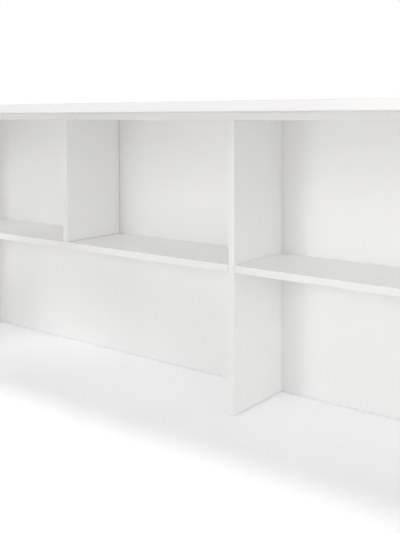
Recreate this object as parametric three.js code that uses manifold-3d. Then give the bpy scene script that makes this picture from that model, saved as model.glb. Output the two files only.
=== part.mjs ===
// High sleeper bed with a full-length desk and a low shelving unit under the desk's back edge.
//
// Millimetres, +Z up. X runs along the bed, +Y points to the wall behind it, and the origin is on the
// floor in the middle of the bed's footprint. The rails and guard boards have stub tenons in the posts,
// a bolt with a barrel nut draws each end of the two long rails tight, and the ladder's stile is notched
// round the boards that it crosses. The shelving unit and the desk top stand between the posts.

import * as THREE from 'three';
import { mergeVertices } from 'three/addons/utils/BufferGeometryUtils.js';
import Module from 'manifold-3d';

const wasm = await Module();
wasm.setup();

// Sleeping platform
const mattressLength = 2000;
const mattressWidth = 900;
const mattressEndPlay = 5;
const mattressSidePlay = 8;
const mattressRecess = 72; // from the long rails' top edge down to the slats
const slatWidth = 90;
const slatThickness = 18;
const slatEndPlay = 2;
const slatCount = 12;
const bearerWidth = 20;
const bearerHeight = 30;

// Posts, rails and guard boards
const postSide = 60;
const railThickness = 22;
const railHeight = 140;
const railTop = 1530; // long rails' top edge above the floor
const guardHeight = 70;
const guardGap = 65;
const lowRailHeight = 70;
const lowRailBottom = 100;
const deskRailHeight = 100;
const roundedEdge = 3; // on posts, rails, guard boards and treads

// Stub tenons, above a long board's middle and below a short one's, so that they pass in the post
const tenonLength = 20;
const tenonThickness = 8;
const tenonShoulder = 12; // from the board's edge to its tenon
const tenonMargin = 3; // wood between a tenon and the bolt beside it

// Ladder
const ladderClearWidth = 380;
const treadCount = 5;
const treadThickness = 28;
const treadDepth = 80;
const treadSetback = 2; // from the posts' front faces
const treadTongue = 12; // length of the tongues that hold a tread in the post and in the stile
const treadShoulder = 7; // from the tread's and the post's faces to the tongue

// Shelving unit and desk
const boardThickness = 18;
const boardEdge = 1; // radius of the edge bands
const tierHeight = 350; // clear height below the shelf, and again above it
const bayWidth = 565; // clear width of each of the two left-hand bays
const shelfDepth = 218; // from the unit's front edge to the face of its back board
const backThickness = 18;
const deskThickness = 18;
const deskDepth = 676;
const deskEndPlay = 0.5;
const cleatSide = 20;
const cleatSetback = 20; // from the desk's front edge

// Bolts and barrel nuts
const boltRadius = 4;
const boltLength = 100;
const boltHeadRadius = 10;
const boltHeadHeight = 3;
const boltSocket = 5; // across the flats of the hexagonal socket
const boltSocketDepth = 2;
const nutRadius = 6;
const nutLength = 18;
const nutInset = 30; // from a rail's end to the middle of its barrel nut
const turnedFacets = 24;

const clearance = 0.3; // round bolts, nuts, tenons and housed ends

// Planes that the pieces share
const postFaceX = mattressLength / 2 + mattressEndPlay; // inner faces of the posts and end rails
const postFaceY = mattressWidth / 2 + mattressSidePlay;
const outerX = postFaceX + postSide;
const outerY = postFaceY + postSide;
const railOuterX = postFaceX + railThickness;
const railOuterY = postFaceY + railThickness;
const railBottom = railTop - railHeight;
const railMiddle = railTop - railHeight / 2;
const guardBottoms = {
  lower: railTop + guardGap,
  upper: railTop + 2 * guardGap + guardHeight,
};
const postHeight = guardBottoms.upper + guardHeight;
const slatTop = railTop - mattressRecess;
const bearerTop = slatTop - slatThickness;
const shelfTop = tierHeight + boardThickness;
const uprightHeight = shelfTop + tierHeight;
const deskBottom = uprightHeight + boardThickness;
const deskTop = deskBottom + deskThickness;
const unitRear = outerY;
const backFace = unitRear - backThickness;
const unitFront = backFace - shelfDepth;
const deskFront = unitRear - deskDepth;
const stileLeft = -postFaceX + ladderClearWidth;
const stileRight = stileLeft + postSide;

const materials = {
  paintedWood: { color: 0xf8f8f7, roughness: 0.42, metalness: 0 },
  whiteBoard: { color: 0xf9f9f8, roughness: 0.5, metalness: 0 },
  pine: { color: 0xd9b987, roughness: 0.65, metalness: 0 },
  zincSteel: { color: 0xb9babb, roughness: 0.35, metalness: 0.9 },
};

const X = new THREE.Vector3(1, 0, 0);
const Y = new THREE.Vector3(0, 1, 0);
const Z = new THREE.Vector3(0, 0, 1);
const at = (x, y, z) => new THREE.Vector3(x, y, z);
const ends = { left: -1, right: 1 };
const sides = { front: -1, rear: 1 };

// Keeps only positions, joins shared corners and drops the empty triangles at a lathe's axis.
function closed(geometry) {
  const bare = new THREE.BufferGeometry();
  bare.setAttribute('position', geometry.getAttribute('position'));
  if (geometry.index) bare.setIndex(geometry.index);
  const merged = mergeVertices(bare, 1e-4);
  const corners = merged.index.array;
  const kept = [];
  for (let i = 0; i < corners.length; i += 3) {
    const [a, b, c] = corners.slice(i, i + 3);
    if (a !== b && b !== c && c !== a) kept.push(a, b, c);
  }
  merged.setIndex(kept);
  return merged;
}

function toSolid(geometry) {
  const mesh = closed(geometry);
  const vertProperties = Float32Array.from(mesh.getAttribute('position').array);
  const triVerts = Uint32Array.from(mesh.index.array);
  return new wasm.Manifold(new wasm.Mesh({ numProp: 3, vertProperties, triVerts }));
}

function toGeometry(solid) {
  const mesh = solid.getMesh();
  const geometry = new THREE.BufferGeometry();
  geometry.setAttribute('position', new THREE.BufferAttribute(mesh.vertProperties, 3));
  geometry.setIndex(new THREE.BufferAttribute(mesh.triVerts, 1));
  return geometry;
}

// A plain box with two opposite corners, in any order, grown on every side by a margin
function box(corner, opposite, margin = 0) {
  const extent = new THREE.Box3().setFromPoints([corner, opposite]).expandByScalar(margin);
  const size = extent.getSize(at(0, 0, 0));
  const middle = extent.getCenter(at(0, 0, 0));
  return new THREE.BoxGeometry(size.x, size.y, size.z).translate(middle.x, middle.y, middle.z);
}

// A board between two opposite corners. Its section is drawn across the grain with a quarter circle at
// each corner, and pushed along the grain, with a small chamfer at both ends.
function roundedBoard(corner, opposite, grain, radius) {
  const extent = new THREE.Box3().setFromPoints([corner, opposite]);
  const size = extent.getSize(at(0, 0, 0));
  const middle = extent.getCenter(at(0, 0, 0));
  const bases = new Map([[X, [Y, Z, X]], [Y, [Z, X, Y]], [Z, [X, Y, Z]]]);
  const basis = bases.get(grain);
  const [width, depth, length] = basis.map((axis) => size.dot(axis));
  const chamfer = radius / 2;
  const right = width / 2 - radius;
  const top = depth / 2 - radius;
  const outline = new THREE.Shape();
  outline.absarc(right, top, radius, 0, 0.5 * Math.PI);
  outline.absarc(-right, top, radius, 0.5 * Math.PI, Math.PI);
  outline.absarc(-right, -top, radius, Math.PI, 1.5 * Math.PI);
  outline.absarc(right, -top, radius, 1.5 * Math.PI, 2 * Math.PI);
  const geometry = new THREE.ExtrudeGeometry(outline, {
    depth: length - 2 * chamfer,
    curveSegments: 1,
    bevelThickness: chamfer,
    bevelSize: chamfer,
    bevelOffset: -chamfer,
    bevelSegments: 1,
  });
  geometry.translate(0, 0, chamfer - length / 2);
  geometry.applyMatrix4(new THREE.Matrix4().makeBasis(...basis));
  return geometry.translate(middle.x, middle.y, middle.z);
}

// A turned piece that starts at a point and runs along a direction. The profile holds a radius and a
// distance along the axis for each step, and begins and ends on the axis.
function turned(profile, start, direction, facets = turnedFacets) {
  const points = profile.map(([radius, along]) => new THREE.Vector2(radius, along));
  const geometry = new THREE.LatheGeometry(points, facets);
  geometry.applyQuaternion(new THREE.Quaternion().setFromUnitVectors(Y, direction));
  return geometry.translate(start.x, start.y, start.z);
}

function rod(radius, length, start, direction, facets) {
  return turned([[0, 0], [radius, 0], [radius, length], [0, length]], start, direction, facets);
}

// Every piece by name: its geometry, what is joined to it and what is cut from it
const pieces = new Map();

function addPiece(name, look, geometry) {
  pieces.set(name, { look, geometry, joined: [], cuts: [] });
}

function addBoard(name, look, corner, opposite, grain, radius = roundedEdge) {
  addPiece(name, look, roundedBoard(corner, opposite, grain, radius));
}

// A board's stub tenon and its mortise in a post. The tenon starts inside the board, runs along its
// grain through the shoulder point, and takes the upper or the lower part of the board's height.
function addTenon(board, post, shoulder, outward, height, isLong) {
  const across = outward.x !== 0 ? Y : X;
  const near = tenonMargin + boltRadius + clearance;
  const far = height / 2 - tenonShoulder;
  const root = shoulder.clone().addScaledVector(outward, -roundedEdge);
  const tip = shoulder.clone().addScaledVector(outward, tenonLength);
  root.addScaledVector(across, -tenonThickness / 2).addScaledVector(Z, isLong ? near : -far);
  tip.addScaledVector(across, tenonThickness / 2).addScaledVector(Z, isLong ? far : -near);
  pieces.get(board).joined.push(box(root, tip));
  pieces.get(post).cuts.push(box(root, tip, clearance));
}

// Posts
for (const [end, sx] of Object.entries(ends)) {
  for (const [side, sy] of Object.entries(sides)) {
    const foot = at(sx * postFaceX, sy * postFaceY, 0);
    addBoard(`post_${side}_${end}`, 'paintedWood', foot, at(sx * outerX, sy * outerY, postHeight), Z);
  }
}

// Short boards of the end frames, between a front and a rear post
function addEndBoard(name, end, bottom, height) {
  const sx = ends[end];
  const corner = at(sx * postFaceX, -postFaceY, bottom);
  addBoard(name, 'paintedWood', corner, at(sx * railOuterX, postFaceY, bottom + height), Y);
  for (const [side, sy] of Object.entries(sides)) {
    const shoulder = at(sx * (postFaceX + railThickness / 2), sy * postFaceY, bottom + height / 2);
    addTenon(name, `post_${side}_${end}`, shoulder, at(0, sy, 0), height, false);
  }
}

for (const end of Object.keys(ends)) {
  addEndBoard(`low_rail_${end}`, end, lowRailBottom, lowRailHeight);
  addEndBoard(`desk_rail_${end}`, end, deskTop - deskRailHeight, deskRailHeight);
  addEndBoard(`end_rail_${end}`, end, railBottom, railHeight);
  for (const [level, bottom] of Object.entries(guardBottoms)) {
    addEndBoard(`guard_${end}_${level}`, end, bottom, guardHeight);
  }
}

// Long boards, between the posts of one side, or from a free end to the right-hand post
function addLongBoard(name, side, bottom, height, freeEnd = null) {
  const sy = sides[side];
  const corner = at(freeEnd ?? -postFaceX, sy * postFaceY, bottom);
  addBoard(name, 'paintedWood', corner, at(postFaceX, sy * railOuterY, bottom + height), X);
  for (const [end, sx] of Object.entries(ends)) {
    if (freeEnd !== null && end === 'left') continue;
    const shoulder = at(sx * postFaceX, sy * (postFaceY + railThickness / 2), bottom + height / 2);
    addTenon(name, `post_${side}_${end}`, shoulder, at(sx, 0, 0), height, true);
  }
}

for (const side of Object.keys(sides)) {
  addLongBoard(`side_rail_${side}`, side, railBottom, railHeight);
  for (const [level, bottom] of Object.entries(guardBottoms)) {
    addLongBoard(`guard_${side}_${level}`, side, bottom, guardHeight, side === 'front' ? stileLeft : null);
  }
}

// Bolt with a flat head and a hexagonal socket, through the post into the rail's end
function boltGeometry(seat, inward) {
  const start = seat.clone().addScaledVector(inward, -boltHeadHeight);
  const whole = boltHeadHeight + boltLength;
  const profile = [
    [0, 0],
    [boltHeadRadius - boltHeadHeight / 2, 0],
    [boltHeadRadius, boltHeadHeight / 2],
    [boltHeadRadius, boltHeadHeight],
    [boltRadius, boltHeadHeight],
    [boltRadius, whole],
    [0, whole],
  ];
  const socketRadius = boltSocket / Math.sqrt(3);
  const socketStart = start.clone().addScaledVector(inward, -1);
  const socket = rod(socketRadius, boltSocketDepth + 1, socketStart, inward, 6);
  return toGeometry(toSolid(turned(profile, start, inward)).subtract(toSolid(socket)));
}

// The bolts of the long rails, and the barrel nuts that they pull on from the rails' inner faces
for (const [end, sx] of Object.entries(ends)) {
  for (const [side, sy] of Object.entries(sides)) {
    const inward = at(-sx, 0, 0);
    const outward = at(0, sy, 0);
    const bolt = `bed_bolt_${side}_${end}`;
    const nut = `barrel_nut_${side}_${end}`;
    const rail = pieces.get(`side_rail_${side}`);
    const seat = at(sx * outerX, sy * (postFaceY + railThickness / 2), railMiddle);
    const boltHole = rod(boltRadius + clearance, boltLength + clearance, seat, inward);
    addPiece(bolt, 'zincSteel', boltGeometry(seat, inward));
    pieces.get(`post_${side}_${end}`).cuts.push(boltHole);
    const nutStart = seat.clone().addScaledVector(inward, postSide + nutInset);
    nutStart.addScaledVector(outward, -nutLength / 2);
    addPiece(nut, 'zincSteel', rod(nutRadius, nutLength, nutStart, outward));
    pieces.get(nut).cuts.push(boltHole);
    const openStart = nutStart.clone().addScaledVector(outward, -railThickness);
    const nutHoleLength = railThickness + nutLength + clearance;
    rail.cuts.push(boltHole, rod(nutRadius + clearance, nutHoleLength, openStart, outward));
  }
}

// Bearers inside the long rails, and the slats evenly spread over them
for (const [side, sy] of Object.entries(sides)) {
  const corner = at(-postFaceX, sy * postFaceY, bearerTop - bearerHeight);
  const opposite = at(postFaceX, sy * (postFaceY - bearerWidth), bearerTop);
  addBoard(`slat_bearer_${side}`, 'pine', corner, opposite, X, boardEdge);
}
const slatGap = (2 * postFaceX - slatCount * slatWidth) / (slatCount + 1);
for (let i = 0; i < slatCount; i += 1) {
  const left = -postFaceX + slatGap + i * (slatWidth + slatGap);
  const reach = postFaceY - slatEndPlay;
  const number = String(i + 1).padStart(2, '0');
  addBoard(`slat_${number}`, 'pine', at(left, -reach, bearerTop), at(left + slatWidth, reach, slatTop), Y);
}

// The ladder's stile, notched from behind so that the front rail and the guard boards lie in it
addBoard('ladder_stile', 'paintedWood', at(stileLeft, -outerY, 0), at(stileRight, -postFaceY, postHeight), Z);
const crossed = [
  [railBottom, railHeight],
  [guardBottoms.lower, guardHeight],
  [guardBottoms.upper, guardHeight],
];
for (const [bottom, height] of crossed) {
  const notchLeft = at(stileLeft - 1, -railOuterY, bottom);
  const notchRight = at(stileRight + 1, -postFaceY + 1, bottom + height);
  pieces.get('ladder_stile').cuts.push(box(notchLeft, notchRight));
}

// Treads, with a tongue in the front left post and another in the stile
const treadPitch = railTop / (treadCount + 1);
for (let i = 1; i <= treadCount; i += 1) {
  const name = `ladder_tread_${i}`;
  const top = i * treadPitch;
  const bottom = top - treadThickness;
  const front = -outerY + treadSetback;
  addBoard(name, 'paintedWood', at(-postFaceX, front, bottom), at(stileLeft, front + treadDepth, top), X);
  for (const [host, face, outward] of [['post_front_left', -postFaceX, -1], ['ladder_stile', stileLeft, 1]]) {
    const root = at(face - outward * roundedEdge, front + treadShoulder, bottom + treadShoulder);
    const tip = at(face + outward * treadTongue, -postFaceY - treadShoulder, top - treadShoulder);
    pieces.get(name).joined.push(box(root, tip));
    pieces.get(host).cuts.push(box(root, tip, clearance));
  }
}

// Shelving unit: uprights by the X of their left faces, one back board, one top, two shelves, a divider
const unitUprights = {
  unit_end_left: -postFaceX,
  unit_partition: -postFaceX + 2 * (boardThickness + bayWidth),
  unit_end_right: postFaceX - boardThickness,
};
for (const [name, x] of Object.entries(unitUprights)) {
  const opposite = at(x + boardThickness, backFace, uprightHeight);
  addBoard(name, 'whiteBoard', at(x, unitFront, 0), opposite, Z, boardEdge);
}
const dividerX = -postFaceX + boardThickness + bayWidth;
const dividerEnd = at(dividerX + boardThickness, backFace, uprightHeight);
addBoard('cubby_divider', 'whiteBoard', at(dividerX, unitFront, shelfTop), dividerEnd, Z, boardEdge);

const backEnd = at(postFaceX, unitRear, uprightHeight);
addBoard('unit_back', 'whiteBoard', at(-postFaceX, backFace, 0), backEnd, X, boardEdge);
const topEnd = at(postFaceX, unitRear, deskBottom);
addBoard('unit_top', 'whiteBoard', at(-postFaceX, unitFront, uprightHeight), topEnd, X, boardEdge);

function addShelf(name, from, to) {
  const corner = at(unitUprights[from] + boardThickness, unitFront, tierHeight);
  addBoard(name, 'whiteBoard', corner, at(unitUprights[to], backFace, shelfTop), X, boardEdge);
}
addShelf('shelf_left', 'unit_end_left', 'unit_partition');
addShelf('shelf_right', 'unit_partition', 'unit_end_right');

// Desk top on the unit, with a cleat under each end
const deskReach = postFaceX - deskEndPlay;
const deskEnd = at(deskReach, unitRear, deskTop);
addBoard('desk_top', 'whiteBoard', at(-deskReach, deskFront, deskBottom), deskEnd, X, boardEdge);
for (const [end, sx] of Object.entries(ends)) {
  const corner = at(sx * postFaceX, deskFront + cleatSetback, deskBottom - cleatSide);
  const opposite = at(sx * (postFaceX - cleatSide), unitFront, deskBottom);
  addBoard(`desk_cleat_${end}`, 'whiteBoard', corner, opposite, Y, boardEdge);
}

// Each finished piece hangs in the scene by its own middle
function finishedMesh(name, piece) {
  let solid = toSolid(piece.geometry);
  for (const extra of piece.joined) solid = solid.add(toSolid(extra));
  for (const hole of piece.cuts) solid = solid.subtract(toSolid(hole));
  const geometry = toGeometry(solid);
  geometry.computeBoundingBox();
  const middle = geometry.boundingBox.getCenter(at(0, 0, 0)).round();
  geometry.translate(-middle.x, -middle.y, -middle.z);
  const mesh = new THREE.Mesh(geometry, new THREE.MeshStandardMaterial(materials[piece.look]));
  mesh.name = name;
  mesh.position.copy(middle);
  return mesh;
}

const bed = new THREE.Group();
bed.name = 'high_sleeper_bed';
for (const [name, piece] of pieces) bed.add(finishedMesh(name, piece));

export default bed;
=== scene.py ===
"""High sleeper bed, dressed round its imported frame.

Every board takes its place and size from the frame's node of the same name. Metres, +Z up, X along the
bed and +Y to the wall behind it.
"""

import math

import bpy
import numpy as np
from bpy.props import FloatProperty, FloatVectorProperty, IntProperty, PointerProperty
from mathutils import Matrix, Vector


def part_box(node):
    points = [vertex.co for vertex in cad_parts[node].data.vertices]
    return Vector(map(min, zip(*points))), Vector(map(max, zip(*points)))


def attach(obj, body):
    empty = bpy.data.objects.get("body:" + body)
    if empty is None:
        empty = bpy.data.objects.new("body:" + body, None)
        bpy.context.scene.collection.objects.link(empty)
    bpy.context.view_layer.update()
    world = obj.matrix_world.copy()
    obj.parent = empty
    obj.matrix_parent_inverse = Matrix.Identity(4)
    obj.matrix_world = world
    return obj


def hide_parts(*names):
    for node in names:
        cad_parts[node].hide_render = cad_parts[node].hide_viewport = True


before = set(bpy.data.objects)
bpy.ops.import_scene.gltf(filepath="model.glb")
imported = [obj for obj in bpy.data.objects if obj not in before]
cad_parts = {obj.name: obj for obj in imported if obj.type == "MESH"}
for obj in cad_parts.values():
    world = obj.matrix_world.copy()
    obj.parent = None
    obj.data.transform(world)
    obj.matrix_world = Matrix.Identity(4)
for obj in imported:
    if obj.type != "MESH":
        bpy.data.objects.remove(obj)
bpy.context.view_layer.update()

bl_info = {
    "name": "High Sleeper Bed",
    "version": (1, 0, 0),
    "blender": (4, 5, 0),
    "location": "3D View > Sidebar > Bed",
    "description": "Makes the boards, slats, fittings and stage of a high sleeper bed",
    "category": "Object",
}

BODY = "root"
PAINTED = "white_frame"
BOARD = "white_board"
PINE = "pine"
STEEL = "zinc_steel"
FINISH_WORDS = {PAINTED: "painted", BOARD: "foiled", PINE: "planed", STEEL: "plated"}
ENDS = {"left": -1, "right": 1}
SIDES = {"front": -1, "rear": 1}
LEVELS = ("lower", "upper")
FRONT_BOARDS = ("side_rail_front", "guard_front_lower", "guard_front_upper")  # in the stile's notches
UPRIGHTS = ("unit_end_left", "unit_partition", "unit_end_right")
SCREW_SIDES = 24
TURNED_SIDES = 48
ARC_POINTS = 5  # along a turned piece's rounded rim
SHARP_ANGLE = math.radians(40)  # edges that turn by more stay sharp
GRAIN = "grain"  # point attribute: metres along the board, across it from its front edge, and through it
GRAIN_SHIFT = 9  # metres that a board's pattern may be shifted along it
X, Y, Z = range(3)  # axes

PHOTO_HEIGHT = 533  # pixels
FOCAL_LENGTH = 783.70  # pixels
OPTICAL_ROW = 139.6  # row of the photograph that the camera's own axis meets
SENSOR = 36.0  # millimetres along the photograph's height

LAMP_AIM = (0.0, 0.3, 0.4)
LAMPS = {  # place, and width and height
    "low": ((-2.5, -7.2, 0.6), (2.1, 1.0)),
    "front": ((-1.5, -7.6, 2.4), (2.5, 2.1)),
    "key": ((-6.4, -4.3, 5.5), (3.8, 3.2)),
    "side": ((7.2, -1.7, 2.0), (4.0, 4.0)),
    "fill": ((6.8, -4.3, 2.4), (2.5, 2.1)),
    "top": ((0.3, 1.6, 6.0), (4.0, 3.0)),
    "rear": ((-1.5, 7.0, 3.2), (4.0, 4.0)),
}
FLOOR_REACH = 20.0  # metres from the bed's middle to the floor's edges
# The seen floor gains less white near the shelving, which paints a soft shade round its footprint.
PAINTED_SHADE_EDGE = (0.12, 0.32)  # metres from the shelving between which the seen floor's gain grows
FLOOR_FADES = (1.8, 4.5)  # metres from the bed's middle between which the seen floor turns white


# Numbers that a user would change


class BedBoardSettings(bpy.types.PropertyGroup):
    """Edges and joints of the boards."""

    solid_edge: FloatProperty(name="Solid wood edge", description="Radius on posts, rails and treads",
                              default=0.003, min=0.0005, max=0.008, unit="LENGTH")
    band_edge: FloatProperty(name="Edge band", description="Radius on furniture board and bearers",
                             default=0.001, min=0.0003, max=0.003, unit="LENGTH")
    sawn_end: FloatProperty(name="Sawn end", description="Tiny round where a board's end butts on a face",
                            default=0.0007, min=0.0001, max=0.001, unit="LENGTH")
    joint_gap: FloatProperty(name="Joint gap", description="Hairline between a rail's end and its neighbour",
                             default=0.0003, min=0.0, max=0.0005, unit="LENGTH")
    panel_gap: FloatProperty(name="Panel gap", description="Shadow line at boards' ends and uprights' backs",
                             default=0.0007, min=0.0, max=0.0015, unit="LENGTH")
    back_gap: FloatProperty(name="Back gap", description="Shadow line behind the shelves and the divider",
                            default=0.0016, min=0.0, max=0.002, unit="LENGTH")
    arc_steps: IntProperty(name="Arc steps", description="Faces along each rounded edge",
                           default=4, min=1, max=12)


class BedFittingSettings(bpy.types.PropertyGroup):
    """Sizes of screws, bolts, nuts and cams."""

    screw_head: FloatProperty(name="Screw head", description="Radius of a countersunk head",
                              default=0.004, min=0.002, max=0.006, unit="LENGTH")
    bolt_head: FloatProperty(name="Bolt head", description="Radius of a connector bolt's flat head",
                             default=0.010, min=0.006, max=0.015, unit="LENGTH")
    bolt_rise: FloatProperty(name="Bolt head rise", description="Height of a bolt's head over the wood",
                             default=0.0029, min=0.001, max=0.003, unit="LENGTH")
    bolt_stem: FloatProperty(name="Bolt stem", description="Radius of a bolt's shank",
                             default=0.004, min=0.002, max=0.005, unit="LENGTH")
    bolt_socket: FloatProperty(name="Bolt socket", description="Width across the hexagonal socket's flats",
                               default=0.005, min=0.003, max=0.008, unit="LENGTH")
    cam_radius: FloatProperty(name="Cam", description="Radius of a shelf's cam lock",
                              default=0.0075, min=0.005, max=0.010, unit="LENGTH")
    glide_radius: FloatProperty(name="Glide", description="Radius of the steel glides under the uprights",
                                default=0.0075, min=0.004, max=0.008, unit="LENGTH")
    glide_rise: FloatProperty(name="Glide height", description="How far the glides hold the uprights up",
                              default=0.0022, min=0.001, max=0.003, unit="LENGTH")
    hole_play: FloatProperty(name="Hole play", description="How much wider a hole is than what it holds",
                             default=0.0003, min=0.0001, max=0.001, unit="LENGTH")


class BedFinishSettings(bpy.types.PropertyGroup):
    """Colours of the finishes, as linear values."""

    paint: FloatVectorProperty(name="Paint", description="White satin paint on solid wood",
                               default=(0.94, 0.94, 0.933), subtype="COLOR", min=0, max=1)
    foil: FloatVectorProperty(name="Foil", description="White satin foil on furniture board",
                              default=(0.95, 0.95, 0.944), subtype="COLOR", min=0, max=1)
    pine: FloatVectorProperty(name="Pine", description="Pale early wood of the slats",
                              default=(0.78, 0.62, 0.42), subtype="COLOR", min=0, max=1)
    late_wood: FloatVectorProperty(name="Late wood", description="Dark lines of the pine's rings",
                                   default=(0.60, 0.40, 0.22), subtype="COLOR", min=0, max=1)
    zinc: FloatVectorProperty(name="Zinc", description="Zinc plating on screws and bolts",
                              default=(0.68, 0.68, 0.69), subtype="COLOR", min=0, max=1)


class BedStageSettings(bpy.types.PropertyGroup):
    """Camera, lamps and floor."""

    camera_place: FloatVectorProperty(name="Camera", description="Where the camera stands",
                                      default=(1.2582, -1.2530, 0.7278), subtype="TRANSLATION", unit="LENGTH")
    camera_turn: FloatProperty(name="Turn", description="Angle that the camera looks to the left of +Y",
                               default=0.6564, subtype="ANGLE")
    camera_tilt: FloatProperty(name="Tilt", description="Angle that the camera looks down",
                               default=0.03, subtype="ANGLE")
    camera_roll: FloatProperty(name="Roll", description="Angle that the camera leans to its left",
                               default=0.0025, subtype="ANGLE")
    low_power: FloatProperty(name="Low lamp", description="Watts of the lamp near the floor, in front",
                             default=52.0, min=0.0)
    front_power: FloatProperty(name="Front lamp", description="Watts of the lamp in front, over the low one",
                               default=104.0, min=0.0)
    key_power: FloatProperty(name="Key lamp", description="Watts of the high lamp at the front left",
                             default=160.0, min=0.0)
    side_power: FloatProperty(name="Side lamp", description="Watts of the large lamp at the right",
                              default=69.0, min=0.0)
    fill_power: FloatProperty(name="Fill lamp", description="Watts of the lamp at the front right",
                              default=68.0, min=0.0)
    top_power: FloatProperty(name="Top lamp", description="Watts of the large lamp over the bed",
                             default=120.0, min=0.0)
    rear_power: FloatProperty(name="Rear lamp", description="Watts of the large lamp behind the bed",
                              default=80.0, min=0.0)
    world_light: FloatProperty(name="World light", description="Strength of the even light from all round",
                               default=0.33, min=0.0, max=1.0)
    bounces: IntProperty(name="Bounces", description="How often light may pass between the white boards",
                         default=12, min=4, max=24)
    floor_colour: FloatVectorProperty(name="Floor", description="Colour of the floor",
                                      default=(0.944, 0.944, 0.95), subtype="COLOR", min=0, max=1)
    # The seen floor gains less white by the shelving than away from it: a painted shade round the shelving.
    near_lift: FloatProperty(name="Near lift", description="White that the seen floor gains by the shelving",
                             default=0.12, min=0.0, max=0.5)
    away_lift: FloatProperty(name="Away lift", description="White that the rest of the seen floor gains",
                             default=0.41, min=0.0, max=0.5)


# Meshes from arrays


def grid_faces(rows, columns):
    """Quads of a grid of rings: each joins two neighbours of one ring to the same two of the next."""
    row, column = np.meshgrid(np.arange(rows - 1), np.arange(columns), indexing="ij")
    near = (row * columns + column).ravel()
    beside = (row * columns + (column + 1) % columns).ravel()
    return np.stack([near, beside, beside + columns, near + columns], axis=1)


def ring_solid(rings):
    """Points and faces of a closed solid: quads between the rings, and one flat face over each end."""
    rows, columns = rings.shape[:2]
    faces = grid_faces(rows, columns).tolist()
    faces.append(list(range(columns))[::-1])
    faces.append(list(range((rows - 1) * columns, rows * columns)))
    return rings.reshape(-1, 3), faces


def board_rings(length, width, thickness, edge, end, steps):
    """Rings of a board along its first axis.

    A ring is a rectangle whose corners are quarter circles of radius edge. With a going from 0 to 90
    degrees at either end, the ring moves out by end sin a and draws in by end (1 - cos a), which rounds
    the board's ends.
    """
    arc = np.linspace(0.0, np.pi / 2, steps + 1)
    around = (np.arange(4)[:, None] * np.pi / 2 + arc).ravel()
    corner = np.repeat([[1, 1], [-1, 1], [-1, -1], [1, -1]], steps + 1, axis=0)
    lean = np.concatenate([-arc[::-1], arc])
    sign = np.repeat([-1, 1], steps + 1)
    along = sign * (length / 2 - end) + end * np.sin(lean)
    drawn_in = end * (1 - np.cos(lean))[:, None]
    radius = edge - drawn_in
    across = corner[:, 0] * (width / 2 - edge) + radius * np.cos(around)
    through = corner[:, 1] * (thickness / 2 - edge) + radius * np.sin(around)
    return np.stack([np.broadcast_to(along[:, None], across.shape), across, through], axis=-1)


def turned_rings(profile, sides):
    """Rings round +Z. The profile gives each ring's height and its radius, a number or one per side."""
    angle = np.arange(sides) * 2 * np.pi / sides
    radius = np.array([np.broadcast_to(r, sides) for _, r in profile])
    height = np.array([h for h, _ in profile])[:, None]
    return np.stack([radius * np.cos(angle), radius * np.sin(angle), height + 0 * radius], axis=-1)


def hexagon(apothem, sides):
    """Radius of a hexagon at each angle: the apothem over the cosine of the turn to the nearest flat."""
    angle = np.arange(sides) * 2 * np.pi / sides
    return apothem / np.cos((angle + np.pi / 6) % (np.pi / 3) - np.pi / 6)


def cross(reach, sides, arms=2):
    """Radius of a plus sign, or of a slot with one arm: an arm's corners are one angle step off its axis."""
    angle = np.arange(sides) * 2 * np.pi / sides
    narrow = reach * np.tan(2 * np.pi / sides)
    tiny = 1e-9
    lying = np.minimum(reach / (abs(np.cos(angle)) + tiny), narrow / (abs(np.sin(angle)) + tiny))
    standing = np.minimum(narrow / (abs(np.cos(angle)) + tiny), reach / (abs(np.sin(angle)) + tiny))
    return np.maximum(lying, standing) if arms == 2 else lying


def copies(points, faces, places, outward, turns=None):
    """One shape at each place, its +Z along outward, turned about it by an angle of its own."""
    places = np.atleast_2d(places)
    outward = np.broadcast_to(outward, places.shape).astype(float)
    helper = np.where(abs(outward[:, 2:3]) > 0.5, [[1.0, 0.0, 0.0]], [[0.0, 0.0, 1.0]])
    side = np.cross(helper, outward)
    up = np.cross(outward, side)
    turns = np.zeros(len(places)) if turns is None else np.asarray(turns)
    cosine, sine = np.cos(turns)[:, None], np.sin(turns)[:, None]
    first, second = cosine * side + sine * up, cosine * up - sine * side
    basis = np.stack([first, second, outward], axis=1)
    moved = np.einsum("pk,mkj->mpj", points, basis) + places[:, None, :]
    shifted = [[corner + copy * len(points) for corner in face]
               for copy in range(len(places)) for face in faces]
    return moved.reshape(-1, 3), shifted


def together(*solids):
    """Several solids' points and faces as one."""
    points, faces, start = [], [], 0
    for more_points, more_faces in solids:
        points.append(more_points)
        faces += [[start + corner for corner in face] for face in more_faces]
        start += len(more_points)
    return np.concatenate(points), faces


def new_mesh(name, points, faces):
    """A mesh of the points and faces."""
    mesh = bpy.data.meshes.new(name)
    mesh.from_pydata(points.tolist(), [], faces)
    return mesh


def soften(mesh):
    """Smooth shading, with the sharp edges kept."""
    mesh.shade_smooth()
    mesh.set_sharp_from_angle(angle=SHARP_ANGLE)


def new_piece(name, mesh, material, nodes=()):
    """Links a finished mesh as a piece of the bed that stands for the nodes it replaces."""
    piece = bpy.data.objects.new(name, mesh)
    bpy.context.scene.collection.objects.link(piece)
    mesh.materials.append(material)
    soften(mesh)
    if nodes:
        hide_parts(*nodes)
    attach(piece, BODY)
    return piece


def even_shade(piece):
    """Lets the large flat faces set the shading, so that only the rounded edges look round."""
    modifier = piece.modifiers.new("even_shade", "WEIGHTED_NORMAL")
    modifier.keep_sharp = True
    modifier.weight = 100


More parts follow.
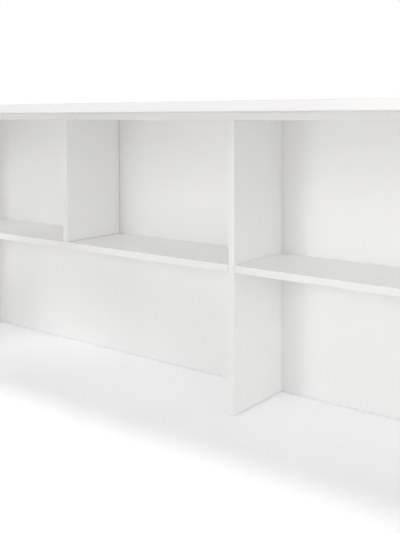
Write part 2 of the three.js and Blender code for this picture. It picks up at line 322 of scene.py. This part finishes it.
def cut_out(piece, points, faces):
    """Takes a solid out of a piece, and leaves the result as the piece's own mesh."""
    cutter = bpy.data.objects.new("cutter", new_mesh("cutter", points, faces))
    bpy.context.scene.collection.objects.link(cutter)
    modifier = piece.modifiers.new("cut", "BOOLEAN")
    modifier.object = cutter
    modifier.operation = "DIFFERENCE"
    modifier.solver = "EXACT"
    bpy.context.view_layer.update()
    graph = bpy.context.evaluated_depsgraph_get()
    whole = piece.data
    piece.data = bpy.data.meshes.new_from_object(piece.evaluated_get(graph), depsgraph=graph)
    piece.modifiers.clear()
    soften(piece.data)
    bpy.data.meshes.remove(whole)
    bpy.data.objects.remove(cutter)


def mark_grain(piece, low, order, shift):
    """Stores each point's place in its board: along the grain, across from the low edge, and through."""
    mesh = piece.data
    points = np.zeros(len(mesh.vertices) * 3, np.float32)
    mesh.vertices.foreach_get("co", points)
    local = (points.reshape(-1, 3) - np.array(low))[:, order] + shift
    attribute = mesh.attributes.get(GRAIN) or mesh.attributes.new(GRAIN, "FLOAT_VECTOR", "POINT")
    attribute.data.foreach_set("vector", local.astype(np.float32).ravel())


# Finishes


def add_node(tree, kind, inputs=None, **settings):
    """A node with its settings, and each input either linked to a socket or set to a value."""
    node = tree.nodes.new(kind)
    for key, value in settings.items():
        setattr(node, key, value)
    for key, value in (inputs or {}).items():
        if isinstance(value, bpy.types.NodeSocket):
            tree.links.new(value, node.inputs[key])
        else:
            node.inputs[key].default_value = value
    return node


def computed(tree, operation, *values):
    """What a Math node makes of its values, each a number or a socket."""
    node = add_node(tree, "ShaderNodeMath", dict(enumerate(values)), operation=operation)
    return node.outputs["Value"]


def new_finish(name):
    """A material with its node tree and its shader."""
    material = bpy.data.materials.new(name)
    material.use_nodes = True
    return material, material.node_tree, material.node_tree.nodes["Principled BSDF"]


def stretched_noise(tree, coordinates, along, across, detail=3.0):
    """Noise drawn out along the grain: that many waves per metre along it and across it."""
    scaled = add_node(tree, "ShaderNodeMapping", {"Vector": coordinates, "Scale": (along, across, across)})
    return add_node(tree, "ShaderNodeTexNoise",
                    {"Vector": scaled.outputs["Vector"], "Scale": 1.0, "Detail": detail, "Roughness": 0.6})


def level(tree, value, low, high):
    """Spreads a value from 0..1 to low..high."""
    node = add_node(tree, "ShaderNodeMapRange", {"Value": value, "To Min": low, "To Max": high})
    return node.outputs["Result"]


def mixed(tree, factor, first, second):
    """A colour between two."""
    node = add_node(tree, "ShaderNodeMix", data_type="RGBA")
    colours = [socket for socket in node.inputs if socket.type == "RGBA"]
    factors = [socket for socket in node.inputs if socket.name == "Factor" and socket.type == "VALUE"]
    for socket, value in ((factors[0], factor), (colours[0], first), (colours[1], second)):
        if isinstance(value, bpy.types.NodeSocket):
            tree.links.new(value, socket)
        else:
            socket.default_value = value
    return next(socket for socket in node.outputs if socket.type == "RGBA")


def shade(colour, factor):
    """An RGBA colour, darker or lighter by a factor."""
    return (*(channel * factor for channel in colour), 1.0)


def grain_coordinates(tree):
    """The board's own coordinates, from its points."""
    return add_node(tree, "ShaderNodeAttribute", attribute_name=GRAIN).outputs["Vector"]


def relief(tree, shader, height, depth):
    """Raises the surface by the height's 0..1 times a depth in metres."""
    bump = add_node(tree, "ShaderNodeBump", {"Strength": 1.0, "Distance": depth, "Height": height})
    tree.links.new(bump.outputs["Normal"], shader.inputs["Normal"])


def paint_finish(colour):
    """Satin paint: the wood's fibres show through as faint ridges, with a little orange peel."""
    material, tree, shader = new_finish("white_satin_paint")
    grain = grain_coordinates(tree)
    fibres = stretched_noise(tree, grain, along=5.0, across=320.0).outputs["Fac"]
    clouds = stretched_noise(tree, grain, along=2.0, across=9.0, detail=2.0).outputs["Fac"]
    peel = stretched_noise(tree, grain, along=600.0, across=600.0, detail=1.0).outputs["Fac"]
    tone = mixed(tree, level(tree, fibres, 0.0, 0.5), shade(colour, 1.0), shade(colour, 0.975))
    tone = mixed(tree, level(tree, clouds, 0.0, 0.4), tone, shade(colour, 0.97))
    tree.links.new(tone, shader.inputs["Base Color"])
    tree.links.new(level(tree, clouds, 0.34, 0.48), shader.inputs["Roughness"])
    height = computed(tree, "MULTIPLY_ADD", peel, 0.25, fibres)
    relief(tree, shader, height, depth=0.00006)
    return material


def foil_finish(colour):
    """Printed foil on furniture board: a fine, very pale grain, and smoother bands on the front edges."""
    material, tree, shader = new_finish("white_satin_foil")
    grain = grain_coordinates(tree)
    fibres = stretched_noise(tree, grain, along=7.0, across=520.0).outputs["Fac"]
    clouds = stretched_noise(tree, grain, along=1.5, across=6.0, detail=2.0).outputs["Fac"]
    across = add_node(tree, "ShaderNodeSeparateXYZ", {"Vector": grain}).outputs["Y"]
    band_depth = 0.0012
    seam_depth = 0.0013
    half_seam = 0.00015
    band = computed(tree, "LESS_THAN", across, band_depth)
    seam = computed(tree, "COMPARE", across, seam_depth, half_seam)
    face = mixed(tree, level(tree, fibres, 0.0, 0.6), shade(colour, 1.0), shade(colour, 0.965))
    face = mixed(tree, level(tree, clouds, 0.0, 0.35), face, shade(colour, 0.97))
    tone = mixed(tree, band, face, shade(colour, 0.97))
    tone = mixed(tree, seam, tone, shade(colour, 0.85))
    tree.links.new(tone, shader.inputs["Base Color"])
    rough = level(tree, fibres, 0.42, 0.52)
    tree.links.new(computed(tree, "MULTIPLY_ADD", band, -0.1, rough), shader.inputs["Roughness"])
    relief(tree, shader, fibres, depth=0.00003)
    return material


def pine_finish(early, late):
    """Planed pine: rings round a pith outside the board, drawn out along the grain, with fine fibres."""
    material, tree, shader = new_finish("planed_pine")
    grain = grain_coordinates(tree)
    pith = add_node(tree, "ShaderNodeMapping",
                    {"Vector": grain, "Location": (0.0, 0.02, 0.07), "Scale": (0.12, 1.0, 1.0)})
    rings = add_node(tree, "ShaderNodeTexWave",
                     {"Vector": pith.outputs["Vector"], "Scale": 70.0, "Distortion": 5.0,
                      "Detail": 2.0, "Detail Scale": 12.0, "Detail Roughness": 0.5},
                     wave_type="RINGS", rings_direction="X", wave_profile="SAW")
    fibres = stretched_noise(tree, grain, along=12.0, across=900.0).outputs["Fac"]
    clouds = stretched_noise(tree, grain, along=1.5, across=14.0, detail=2.0).outputs["Fac"]
    bands = computed(tree, "POWER", rings.outputs["Fac"], 3.0)
    tone = mixed(tree, level(tree, bands, 0.0, 0.55), shade(early, 1.0), shade(late, 1.0))
    tone = mixed(tree, level(tree, fibres, 0.0, 0.35), tone, shade(late, 0.9))
    tone = mixed(tree, level(tree, clouds, 0.0, 0.3), tone, shade(early, 0.85))
    tree.links.new(tone, shader.inputs["Base Color"])
    tree.links.new(level(tree, fibres, 0.52, 0.7), shader.inputs["Roughness"])
    height = computed(tree, "MULTIPLY_ADD", fibres, 0.6, bands)
    relief(tree, shader, height, depth=0.00008)
    return material


def zinc_finish(colour):
    """Zinc plating: bright metal with a fine, cloudy crystal pattern."""
    material, tree, shader = new_finish("zinc_plating")
    place = add_node(tree, "ShaderNodeTexCoord").outputs["Object"]
    noise = add_node(tree, "ShaderNodeTexNoise", {"Vector": place, "Scale": 900.0, "Detail": 3.0})
    crystals = noise.outputs["Fac"]
    tone = mixed(tree, crystals, shade(colour, 0.88), shade(colour, 1.06))
    tree.links.new(tone, shader.inputs["Base Color"])
    tree.links.new(level(tree, crystals, 0.26, 0.44), shader.inputs["Roughness"])
    shader.inputs["Metallic"].default_value = 1.0
    relief(tree, shader, crystals, depth=0.00002)
    return material


def seen_rays(tree):
    """1 for light that goes straight to the eye or by way of metal or glass, and 0 for all other light."""
    rays = add_node(tree, "ShaderNodeLightPath").outputs
    seen = rays["Is Camera Ray"]
    for name in ("Is Glossy Ray", "Is Transmission Ray"):
        seen = computed(tree, "MAXIMUM", seen, rays[name])
    return seen


def floor_finish(stage):
    """A pale floor that keeps the bed's shadow. What is seen of it gains a little white.

    The gain grows with the distance from the shelving unit's footprint: the length of how far the place is
    past half of the footprint's length and depth. The smaller gain near the shelving leaves a painted shade
    round its footprint. Far from the bed, all that is seen is white.
    """
    material, tree, shader = new_finish("pale_floor")
    place = add_node(tree, "ShaderNodeTexCoord").outputs["Object"]
    speckle = add_node(tree, "ShaderNodeTexNoise", {"Vector": place, "Scale": 40.0, "Detail": 2.0})
    colour = stage.floor_colour
    tone = mixed(tree, speckle.outputs["Fac"], shade(colour, 0.995), shade(colour, 1.005))
    tree.links.new(tone, shader.inputs["Base Color"])
    shader.inputs["Roughness"].default_value = 0.9
    low, high = (np.array(corner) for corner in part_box("unit_top"))
    middle = (low + high) / 2 * (1, 1, 0)
    half = (high - low) / 2
    past = place
    for operation, amount in (("SUBTRACT", middle), ("ABSOLUTE", None), ("SUBTRACT", half),
                              ("MAXIMUM", (0.0, 0.0, 0.0))):
        inputs = {0: past} if amount is None else {0: past, 1: tuple(amount)}
        past = add_node(tree, "ShaderNodeVectorMath", inputs, operation=operation).outputs["Vector"]
    gap = add_node(tree, "ShaderNodeVectorMath", {0: past}, operation="LENGTH").outputs["Value"]
    # Less gain near the shelving: a painted shade on the seen floor round the unit's footprint.
    lift = add_node(tree, "ShaderNodeMapRange",
                    {"Value": gap, "From Min": PAINTED_SHADE_EDGE[0], "From Max": PAINTED_SHADE_EDGE[1],
                     "To Min": stage.near_lift, "To Max": stage.away_lift}, interpolation_type="SMOOTHSTEP")
    seen = seen_rays(tree)
    gained = computed(tree, "MULTIPLY", seen, lift.outputs["Result"])
    glow = add_node(tree, "ShaderNodeEmission", {"Strength": gained})
    near = add_node(tree, "ShaderNodeAddShader", {0: shader.outputs[0], 1: glow.outputs[0]})
    away = add_node(tree, "ShaderNodeVectorMath", {0: place}, operation="LENGTH").outputs["Value"]
    fade = add_node(tree, "ShaderNodeMapRange",
                    {"Value": away, "From Min": FLOOR_FADES[0], "From Max": FLOOR_FADES[1]},
                    interpolation_type="SMOOTHSTEP")
    far = computed(tree, "MULTIPLY", seen, fade.outputs["Result"])
    white = add_node(tree, "ShaderNodeEmission", {"Strength": 1.0})
    whole = add_node(tree, "ShaderNodeMixShader", {0: far, 1: near.outputs[0], 2: white.outputs[0]})
    tree.links.new(whole.outputs[0], tree.nodes["Material Output"].inputs["Surface"])
    return material


FINISHES = {}


def finish_for(slot):
    """The finish of one material slot, made the first time that a piece asks for it."""
    if slot not in FINISHES:
        colours = bpy.context.scene.bed_finish
        makers = {
            PAINTED: lambda: paint_finish(colours.paint),
            BOARD: lambda: foil_finish(colours.foil),
            PINE: lambda: pine_finish(colours.pine, colours.late_wood),
            STEEL: lambda: zinc_finish(colours.zinc),
        }
        FINISHES[slot] = makers[slot]()
    return FINISHES[slot]


# Boards and fittings from the frame


def corners_of(node):
    """Lowest and highest corner of a node, as arrays."""
    return (np.array(corner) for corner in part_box(node))


def middle_of(node):
    """Middle of a node's box."""
    return sum(corners_of(node)) / 2


def inner_face(node, side):
    """Y of a front or rear node's face towards the middle of the bed."""
    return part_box(node)[0 if side == "rear" else 1].y


def add_board(node, slot, edge, end=None, gap=None, limits=None, cutters=()):
    """A board in place of a node: the same box with rounded edges, its grain along its length.

    end is the radius at both ends, and gap the hairline that they keep from their neighbours. Limits give
    the lowest and highest place along an axis where they aren't the node's own. Cutters are solids that
    are taken out of the board.
    """
    boards = bpy.context.scene.bed_boards
    low, high = corners_of(node)
    for axis, (start, stop) in (limits or {}).items():
        low[axis], high[axis] = start, stop
    order = np.argsort(low - high, kind="stable")
    length, width, thickness = (high - low)[order]
    gap = boards.joint_gap if gap is None else gap
    end = boards.sawn_end if end is None else end
    rings = board_rings(length - 2 * gap, width, thickness, edge, end, boards.arc_steps)
    points, faces = ring_solid(rings)
    placed = np.zeros_like(points)
    placed[:, order] = points
    if np.linalg.det(np.eye(3)[order]) < 0:
        faces = [face[::-1] for face in faces]
    mesh = new_mesh(node, placed + (low + high) / 2, faces)
    piece = new_piece(f"{node}_{FINISH_WORDS[slot]}", mesh, finish_for(slot), [node])
    if cutters:
        cut_out(piece, *together(*cutters))
    along = np.random.default_rng(sum(node.encode())).uniform(0, GRAIN_SHIFT)
    mark_grain(piece, low, order, np.array([along, 0.0, 0.0]))
    even_shade(piece)
    return piece


def box_solid(low, high):
    """The eight corners and six faces of a plain box."""
    corners = np.array([[x, y, z] for x in (low[X], high[X]) for y in (low[Y], high[Y])
                        for z in (low[Z], high[Z])])
    faces = [[0, 1, 3, 2], [4, 6, 7, 5], [0, 4, 5, 1], [2, 3, 7, 6], [0, 2, 6, 4], [1, 5, 7, 3]]
    return corners, faces


def places(x, y, z):
    """Every combination of the given places along the three axes."""
    return np.array(np.meshgrid(x, y, z, indexing="ij"), float).reshape(3, -1).T


def along_board(node, axis, count, inset):
    """Even places along a board, the first and last an inset away from its ends."""
    low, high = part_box(node)
    return np.linspace(low[axis] + inset, high[axis] - inset, count)


def add_fittings(name, solid, nodes=()):
    """A piece of metal fittings from their points and faces, which may stand for nodes."""
    mesh = new_mesh(name, *solid)
    return new_piece(f"{name}_{FINISH_WORDS[STEEL]}", mesh, finish_for(STEEL), nodes)


def drilled(spots, outward, radius, depth):
    """Round holes from just over a face down to a depth."""
    over = bpy.context.scene.bed_fittings.hole_play
    profile = [(-depth, radius), (over, radius)]
    return copies(*ring_solid(turned_rings(profile, TURNED_SIDES)), spots, outward)


def countersinks(spots, outward):
    """Cones that screw heads lie in, a little wider than the heads."""
    fittings = bpy.context.scene.bed_fittings
    radius, play = fittings.screw_head, fittings.hole_play
    profile = [(-radius, play), (play, radius + 2 * play)]
    return copies(*ring_solid(turned_rings(profile, SCREW_SIDES)), spots, outward)


def add_screws(name, spots, outward):
    """Countersunk cross-head screws, flush with the wood, each turned by a chance angle."""
    radius = bpy.context.scene.bed_fittings.screw_head
    tip = 0.2 * radius
    rim = 0.06 * radius
    recess = cross(0.6 * radius, SCREW_SIDES)
    profile = [(-0.8 * radius, tip), (-rim, radius), (0.0, 0.95 * radius), (0.0, recess),
               (-0.4 * radius, 0.75 * recess)]
    solid = ring_solid(turned_rings(profile, SCREW_SIDES))
    turns = np.random.default_rng(len(spots)).uniform(0, np.pi, len(spots))
    return add_fittings(name, copies(*solid, spots, outward, turns))


def bolt_solid(shank):
    """A flat-headed bolt whose seat is at 0: its crown is a quarter ellipse, and its socket a hexagon."""
    fittings = bpy.context.scene.bed_fittings
    head, rise, stem = fittings.bolt_head, fittings.bolt_rise, fittings.bolt_stem
    socket = hexagon(fittings.bolt_socket / 2, TURNED_SIDES)
    chamfer = 0.3 * stem
    rim = 0.4 * rise
    lean = np.linspace(0, np.pi / 2, ARC_POINTS)
    crown = [(rim + (rise - rim) * math.sin(a), head - 0.5 * rise * (1 - math.cos(a))) for a in lean]
    profile = [(-shank, stem - chamfer), (chamfer - shank, stem), (0.0, stem), (0.0, head), *crown,
               (rise, 1.1 * socket), (0.85 * rise, socket), (0.3 * rise, socket)]
    return ring_solid(turned_rings(profile, TURNED_SIDES))


def plug_solid(radius, length, arms):
    """A round plug with a chamfered rim at 0, and a slot or a cross of two sunk in its face."""
    recess = cross(0.75 * radius, TURNED_SIDES, arms)
    rim = 0.08 * radius
    profile = [(-length, radius), (-rim, radius), (0.0, radius - rim), (0.0, recess),
               (-0.25 * radius, recess)]
    return ring_solid(turned_rings(profile, TURNED_SIDES))


class BED_OT_posts(bpy.types.Operator):
    """Make the four corner posts"""

    bl_idname = "bed.posts"
    bl_label = "Posts"

    def execute(self, context):
        edge = context.scene.bed_boards.solid_edge
        for end in ENDS:
            for side in SIDES:
                add_board(f"post_{side}_{end}", PAINTED, edge, end=0.9 * edge, gap=0.0)
        return {"FINISHED"}


class BED_OT_end_frames(bpy.types.Operator):
    """Make the short rails and guard boards between the posts of each end"""

    bl_idname = "bed.end_frames"
    bl_label = "End frames"

    def execute(self, context):
        edge = context.scene.bed_boards.solid_edge
        for end in ENDS:
            limits = {Y: (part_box(f"post_front_{end}")[1].y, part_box(f"post_rear_{end}")[0].y)}
            rails = [f"{board}_{end}" for board in ("low_rail", "desk_rail", "end_rail")]
            for node in rails + [f"guard_{end}_{height}" for height in LEVELS]:
                add_board(node, PAINTED, edge, limits=limits)
        return {"FINISHED"}


def stile_screw_spots(node):
    """Two places on a front board's inner face, over the middle of the ladder's stile."""
    low, high = corners_of(node)
    heights = low[Z] + (high[Z] - low[Z]) * np.array([0.25, 0.75])
    return places([middle_of("ladder_stile")[X]], [high[Y]], heights)


class BED_OT_long_boards(bpy.types.Operator):
    """Make the long rails and guard boards, and the bolts and barrel nuts that draw the rails tight"""

    bl_idname = "bed.long_boards"
    bl_label = "Long boards"

    def execute(self, context):
        edge = context.scene.bed_boards.solid_edge
        for side in SIDES:
            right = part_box(f"post_{side}_right")[0].x
            rail = f"side_rail_{side}"
            for node in (rail, *(f"guard_{side}_{height}" for height in LEVELS)):
                left = max(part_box(f"post_{side}_left")[1].x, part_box(node)[0].x)
                cutters = [self.nut_holes(side)] if node == rail else []
                if node in FRONT_BOARDS:
                    cutters.append(countersinks(stile_screw_spots(node), (0, 1, 0)))
                add_board(node, PAINTED, edge, limits={X: (left, right)}, cutters=cutters)
            for end in ENDS:
                self.add_bolt(side, end)
                self.add_nut(side, end)
        return {"FINISHED"}

    def nut_holes(self, side):
        """Holes for the two barrel nuts, from the rail's inner face."""
        play = bpy.context.scene.bed_fittings.hole_play
        inner = inner_face(f"side_rail_{side}", side)
        low, high = corners_of(f"barrel_nut_{side}_left")
        far = high[Y] if side == "rear" else low[Y]
        radius = (high[Z] - low[Z]) / 2
        height = (low[Z] + high[Z]) / 2
        spots = places([middle_of(f"barrel_nut_{side}_{end}")[X] for end in ENDS], [inner], [height])
        return drilled(spots, (0, -SIDES[side], 0), radius + play, abs(far - inner) + play)

    def add_bolt(self, side, end):
        """The bolt whose head lies on the post's outer face."""
        node = f"bed_bolt_{side}_{end}"
        low, high = corners_of(node)
        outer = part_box(f"post_{side}_{end}")[1 if end == "right" else 0].x
        tip = low[X] if end == "right" else high[X]
        seat = (outer, *middle_of(node)[1:])
        solid = copies(*bolt_solid(abs(outer - tip)), [seat], (ENDS[end], 0, 0))
        add_fittings(node, solid, [node])

    def add_nut(self, side, end):
        """The slotted barrel nut, its face in the plane of the rail's inner face."""
        node = f"barrel_nut_{side}_{end}"
        low, high = corners_of(node)
        middle = middle_of(node)
        face = (middle[X], inner_face(node, side), middle[Z])
        solid = plug_solid((high[Z] - low[Z]) / 2, high[Y] - low[Y], arms=1)
        add_fittings(node, copies(*solid, [face], (0, -SIDES[side], 0)), [node])


class BED_OT_slats(bpy.types.Operator):
    """Make the bearers, the slats and their screws"""

    bl_idname = "bed.slats"
    bl_label = "Slats"

    def execute(self, context):
        boards = context.scene.bed_boards
        for side, sign in SIDES.items():
            node = f"slat_bearer_{side}"
            along = along_board(node, X, count=9, inset=0.06)
            spots = places(along, [inner_face(node, side)], [middle_of(node)[Z]])
            cutters = [countersinks(spots, (0, -sign, 0))]
            add_board(node, PINE, boards.band_edge, cutters=cutters)
            add_screws(f"slat_bearer_{side}_screws", spots, (0, -sign, 0))
        bearers = [middle_of(f"slat_bearer_{side}")[Y] for side in SIDES]
        slats = sorted(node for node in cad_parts
                       if node.startswith("slat_") and "bearer" not in node)
        every_spot = []
        for node in slats:
            spots = places(along_board(node, X, count=2, inset=0.022), bearers, [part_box(node)[1].z])
            add_board(node, PINE, boards.solid_edge, gap=0.0, cutters=[countersinks(spots, (0, 0, 1))])
            every_spot.append(spots)
        add_screws("slat_screws", np.concatenate(every_spot), (0, 0, 1))
        return {"FINISHED"}


class BED_OT_ladder(bpy.types.Operator):
    """Make the ladder's notched stile, its treads, and the bolts and screws that hold them"""

    bl_idname = "bed.ladder"
    bl_label = "Ladder"

    def execute(self, context):
        edge = context.scene.bed_boards.solid_edge
        low, high = corners_of("ladder_stile")
        notches = [self.notch(node) for node in FRONT_BOARDS]
        add_board("ladder_stile", PAINTED, edge, end=0.9 * edge, gap=0.0, cutters=notches)
        post_low, post_high = corners_of("post_front_left")
        treads = sorted(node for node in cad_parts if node.startswith("ladder_tread"))
        for node in treads:
            add_board(node, PAINTED, edge, limits={X: (post_high[X], low[X])})
        heights = [middle_of(node)[Z] for node in treads]
        middle = [(post_low[Y] + post_high[Y]) / 2]
        reach = 0.04
        solid = bolt_solid(post_high[X] - post_low[X] + reach)
        add_fittings("tread_bolts", together(
            copies(*solid, places([post_low[X]], middle, heights), (-1, 0, 0)),
            copies(*solid, places([high[X]], middle, heights), (1, 0, 0))))
        screws = np.concatenate([stile_screw_spots(node) for node in FRONT_BOARDS])
        add_screws("stile_screws", screws, (0, 1, 0))
        return {"FINISHED"}

    def notch(self, node):
        """The room that a front board takes out of the stile's rear half."""
        play = bpy.context.scene.bed_boards.joint_gap
        low, high = corners_of(node)
        stile_low, stile_high = corners_of("ladder_stile")
        beyond = 0.001
        return box_solid((stile_low[X] - beyond, low[Y] - play, low[Z] - play),
                         (stile_high[X] + beyond, stile_high[Y] + beyond, high[Z] + play))


class BED_OT_shelving(bpy.types.Operator):
    """Make the shelving unit's boards, and its screws and cam locks"""

    bl_idname = "bed.shelving"
    bl_label = "Shelving"

    def execute(self, context):
        edge = context.scene.bed_boards.band_edge
        shelf = middle_of("shelf_left")[Z]
        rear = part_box("unit_back")[1].y
        depths = along_board("shelf_left", Y, count=2, inset=0.045)
        back_spots = self.back_spots(shelf, rear)
        screws = [(back_spots, (0, 1, 0))]
        back_low, back_high = corners_of("unit_back")
        limits = {Z: (back_low[Z] + context.scene.bed_boards.panel_gap, back_high[Z])}
        add_board("unit_back", BOARD, edge, limits=limits, cutters=[countersinks(back_spots, (0, 1, 0))])
        for end, sign in ENDS.items():
            node = f"unit_end_{end}"
            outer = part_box(node)[0 if end == "left" else 1].x
            spots = places([outer], depths, [shelf])
            self.add_upright(node, edge, [countersinks(spots, (sign, 0, 0))])
            screws.append((spots, (sign, 0, 0)))
        self.add_upright("unit_partition", edge)
        self.add_unit_board("cubby_divider", edge)
        self.add_glides(UPRIGHTS, depths)
        add_board("unit_top", BOARD, edge)
        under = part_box("shelf_left")[0].z
        divider = places([middle_of("cubby_divider")[X]], depths, [under])
        screws.append((divider, (0, 0, -1)))
        self.add_shelves(edge, depths, under, countersinks(divider, (0, 0, -1)))
        for number, (spots, outward) in enumerate(screws, start=1):
            add_screws(f"unit_screws_{number}", spots, outward)
        return {"FINISHED"}

    def add_unit_board(self, node, edge, cutters=(), foot=0.0, behind=None):
        """A board inside the unit, with a narrow shadow line at its ends and behind it.

        foot is how much higher than its node it starts.
        """
        low, high = corners_of(node)
        boards = bpy.context.scene.bed_boards
        behind = boards.back_gap if behind is None else behind
        limits = {Y: (low[Y], high[Y] - behind), Z: (low[Z] + foot, high[Z])}
        add_board(node, BOARD, edge, end=edge, gap=boards.panel_gap, limits=limits, cutters=cutters)

    def add_upright(self, node, edge, cutters=()):
        """A board that stands on the glides, which hold its foot off the floor."""
        gap = bpy.context.scene.bed_boards.panel_gap
        foot = bpy.context.scene.bed_fittings.glide_rise - gap
        self.add_unit_board(node, edge, cutters, foot, behind=gap)

    def add_glides(self, uprights, depths):
        """Two steel glides under each upright, their rims rounded in a quarter circle."""
        fittings = bpy.context.scene.bed_fittings
        radius, rise = fittings.glide_radius, fittings.glide_rise
        lean = np.linspace(0, np.pi / 2, ARC_POINTS)
        rim = [(rise * math.sin(a), radius - rise * (1 - math.cos(a))) for a in lean]
        solid = ring_solid(turned_rings([(0.0, radius), *rim[1:]], TURNED_SIDES))
        spots = places([middle_of(node)[X] for node in uprights], depths, [rise])
        add_fittings("unit_glides", copies(*solid, spots, (0, 0, -1)))

    def back_spots(self, shelf, rear):
        """Places on the back board's rear face, over the uprights, the divider and the shelves."""
        uprights = [middle_of(node)[X] for node in UPRIGHTS]
        divider = [middle_of("cubby_divider")[X]]
        spots = [places(uprights, [rear], along_board("unit_back", Z, count=4, inset=0.06)),
                 places(divider, [rear], along_board("cubby_divider", Z, count=2, inset=0.08)),
                 places(along_board("shelf_left", X, count=4, inset=0.12), [rear], [shelf]),
                 places(along_board("shelf_right", X, count=3, inset=0.12), [rear], [shelf])]
        return np.concatenate(spots)

    def add_shelves(self, edge, depths, under, divider_holes):
        """Both shelves, with a row of cams under the end that meets the partition."""
        fittings = bpy.context.scene.bed_fittings
        radius = fittings.cam_radius
        inset = 0.024
        sink = 0.012
        low, high = corners_of("unit_partition")
        down = (0, 0, -1)
        cams = {"shelf_left": low[X] - inset, "shelf_right": high[X] + inset}
        for node, x in cams.items():
            spots = places([x], depths, [under])
            cutters = [drilled(spots, down, radius + fittings.hole_play, sink + fittings.hole_play)]
            if node == "shelf_left":
                cutters.append(divider_holes)
            self.add_unit_board(node, edge, cutters)
        spots = places(list(cams.values()), depths, [under])
        add_fittings("shelf_cams", copies(*plug_solid(radius, sink, arms=2), spots, down))


class BED_OT_desk(bpy.types.Operator):
    """Make the desk top, the cleats under its ends, and their screws"""

    bl_idname = "bed.desk"
    bl_label = "Desk"

    def execute(self, context):
        edge = context.scene.bed_boards.band_edge
        add_board("desk_top", BOARD, edge)
        for end, sign in ENDS.items():
            node = f"desk_cleat_{end}"
            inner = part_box(node)[1 if end == "left" else 0].x
            middle = middle_of(node)
            side_spots = places([inner], along_board(node, Y, count=3, inset=0.04), [middle[Z]])
            under_spots = places([middle[X]], along_board(node, Y, count=2, inset=0.11), [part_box(node)[0].z])
            cutters = [countersinks(side_spots, (-sign, 0, 0)), countersinks(under_spots, (0, 0, -1))]
            add_board(node, BOARD, edge, cutters=cutters)
            add_screws(f"{node}_side_screws", side_spots, (-sign, 0, 0))
            add_screws(f"{node}_under_screws", under_spots, (0, 0, -1))
        return {"FINISHED"}


def add_lamp(name, place, size, power):
    """A lamp of a width and height at a place, turned to the shelves under the desk."""
    light = bpy.data.lights.new(name, "AREA")
    light.shape = "RECTANGLE"
    light.size, light.size_y = size
    light.energy = power
    lamp = bpy.data.objects.new(name, light)
    lamp.location = place
    lamp.rotation_euler = (Vector(LAMP_AIM) - Vector(place)).to_track_quat("-Z", "Y").to_euler()
    lamp.visible_camera = False
    bpy.context.scene.collection.objects.link(lamp)


class BED_OT_stage(bpy.types.Operator):
    """Make the floor, the light and the camera"""

    bl_idname = "bed.stage"
    bl_label = "Stage"

    def execute(self, context):
        stage = context.scene.bed_stage
        self.add_floor(stage)
        self.add_light(context.scene, stage)
        self.add_camera(context.scene, stage)
        return {"FINISHED"}

    def add_floor(self, stage):
        """A wide flat square."""
        corners = np.array([[-1, -1, 0], [1, -1, 0], [1, 1, 0], [-1, 1, 0]]) * FLOOR_REACH
        floor = bpy.data.objects.new("floor", new_mesh("floor", corners, [[0, 1, 2, 3]]))
        floor.data.materials.append(floor_finish(stage))
        bpy.context.scene.collection.objects.link(floor)

    def add_light(self, scene, stage):
        """The lamps, and a world that is white where it is seen and dimmer where it lights the bed."""
        world = bpy.data.worlds.new("studio")
        world.use_nodes = True
        tree = world.node_tree
        background = tree.nodes["Background"]
        background.inputs["Color"].default_value = (1.0, 1.0, 1.0, 1.0)
        strength = level(tree, seen_rays(tree), stage.world_light, 1.0)
        tree.links.new(strength, background.inputs["Strength"])
        scene.world = world
        for name, (place, size) in LAMPS.items():
            add_lamp(name, place, size, getattr(stage, f"{name}_power"))
        scene.cycles.diffuse_bounces = stage.bounces
        scene.cycles.max_bounces = stage.bounces + 4

    def add_camera(self, scene, stage):
        """The camera at the photograph's viewpoint."""
        data = bpy.data.cameras.new("camera")
        data.sensor_width = SENSOR
        data.lens = FOCAL_LENGTH / PHOTO_HEIGHT * SENSOR
        data.shift_y = (OPTICAL_ROW - PHOTO_HEIGHT / 2) / PHOTO_HEIGHT
        camera = bpy.data.objects.new("camera", data)
        camera.location = stage.camera_place
        camera.rotation_euler = (math.pi / 2 - stage.camera_tilt, stage.camera_roll, stage.camera_turn)
        scene.collection.objects.link(camera)
        scene.camera = camera
        scene.view_settings.view_transform = "Standard"


class BED_PT_panel(bpy.types.Panel):
    """Lists the bed's settings and its operators"""

    bl_idname = "BED_PT_panel"
    bl_label = "High sleeper bed"
    bl_space_type = "VIEW_3D"
    bl_region_type = "UI"
    bl_category = "Bed"

    def draw(self, context):
        for settings in GROUPS:
            column = self.layout.column()
            group = getattr(context.scene, settings)
            for key in group.bl_rna.properties.keys():
                if key not in ("rna_type", "name"):
                    column.prop(group, key)
        for operator in OPERATORS:
            self.layout.operator(operator.bl_idname)


GROUPS = {
    "bed_boards": BedBoardSettings,
    "bed_fittings": BedFittingSettings,
    "bed_finish": BedFinishSettings,
    "bed_stage": BedStageSettings,
}
OPERATORS = (BED_OT_stage, BED_OT_posts, BED_OT_end_frames, BED_OT_long_boards, BED_OT_slats,
             BED_OT_ladder, BED_OT_shelving, BED_OT_desk)


def register():
    for kind in (*GROUPS.values(), *OPERATORS, BED_PT_panel):
        bpy.utils.register_class(kind)
    for name, kind in GROUPS.items():
        setattr(bpy.types.Scene, name, PointerProperty(type=kind))


def unregister():
    for name in GROUPS:
        delattr(bpy.types.Scene, name)
    for kind in reversed((*GROUPS.values(), *OPERATORS, BED_PT_panel)):
        bpy.utils.unregister_class(kind)


def main():
    register()
    bpy.ops.bed.stage()
    bpy.ops.bed.posts()
    bpy.ops.bed.end_frames()
    bpy.ops.bed.long_boards()
    bpy.ops.bed.slats()
    bpy.ops.bed.ladder()
    bpy.ops.bed.shelving()
    bpy.ops.bed.desk()


if __name__ == "__main__":
    main()
